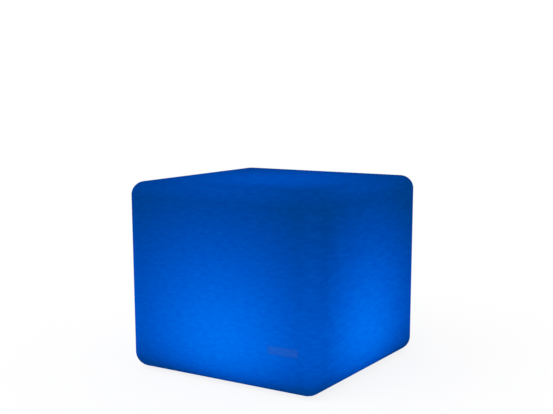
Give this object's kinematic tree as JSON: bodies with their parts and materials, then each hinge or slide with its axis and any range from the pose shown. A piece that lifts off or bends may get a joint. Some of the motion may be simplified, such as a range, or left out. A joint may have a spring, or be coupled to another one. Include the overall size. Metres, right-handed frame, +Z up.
{
  "type": "led light cube",
  "caption": "Rounded hollow plastic cube that glows from a rechargeable light module in its base; a garden light that is also a low seat.",
  "frame": {"origin": "middle of the footprint, on the floor under the rubber feet", "axes": "+Z up; the face with the blank plate looks along -Y; +X is to the right of that face"},
  "size_m": [0.4, 0.4, 0.35],
  "materials": {
    "glow_polyethylene": "rotational-moulded, lit from inside",
    "plate": "moulded, satin",
    "black_rubber": "moulded",
    "stainless_screw": "cold-headed",
    "brass": "turned",
    "cover_abs": "moulded, fine spark texture",
    "housing_abs": "moulded",
    "foam_rubber": "closed cell, die-cut",
    "clear_pipe": "polished",
    "button_abs": "moulded, satin",
    "silicone": "moulded",
    "spring_steel": "drawn wire",
    "nickel": "plated",
    "black_nylon": "moulded",
    "cell_sleeve": "shrink sleeve",
    "board_green": "solder resist",
    "board_white": "solder resist",
    "part_black": "moulded",
    "plug_cream": "moulded",
    "phosphor": "silicone-filled",
    "aluminium": "stamped",
    "opal": "opal polycarbonate",
    "wire_red": "extruded",
    "wire_white": "extruded"
  },
  "bodies": {
    "cube": {"cube_shell": "glow_polyethylene", "blank_plate": "plate", "rubber_feet": "black_rubber", "foot_screws": "stainless_screw", "threaded_inserts": "brass", "base_cover": "cover_abs", "cover_gasket": "foam_rubber", "cover_screws": "stainless_screw", "cover_washers": "stainless_screw", "charge_indicator": "clear_pipe", "vent_plug": "black_nylon", "button_bezel": "button_abs", "button_spring": "spring_steel", "tact_switch": "part_black", "charge_socket": "black_nylon", "socket_nut": "nickel", "flap_anchor": "silicone", "module_housing": "housing_abs", "housing_seal": "foam_rubber", "housing_screws": "stainless_screw", "lead_grommet": "black_rubber", "battery_tray": "black_nylon", "battery_cells": "cell_sleeve", "cell_tabs": "nickel", "battery_pad": "foam_rubber", "battery_straps": "aluminium", "strap_screws": "stainless_screw", "battery_leads": "wire_red", "control_board": "board_green", "board_parts": "part_black", "board_connectors": "plug_cream", "board_screws": "stainless_screw", "charge_leads": "wire_red", "heat_spreader": "aluminium", "led_board": "board_white", "led_chips": "phosphor", "ir_receiver": "part_black", "led_connector": "plug_cream", "led_lead": "wire_white", "led_board_screws": "stainless_screw", "diffuser_dome": "opal", "dome_seal": "foam_rubber", "dome_screws": "stainless_screw"},
    "button": {"power_button": "button_abs", "button_seal": "silicone"},
    "flap": {"port_flap": "silicone"}
  },
  "joints": [
    {"name": "button_press", "type": "slide", "parent": "cube", "child": "button", "axis": [0, 0, 1], "range_m": [0, 0.0015], "stiffness_N_per_m": 500, "springref_m": -0.002, "deforming": ["button_spring"]},
    {"name": "flap_hinge", "type": "hinge", "parent": "cube", "child": "flap", "pos_m": [0.03, -0.0105, 0.0239], "axis": [1, 0, 0], "range_deg": [0, 90]}
  ]
}
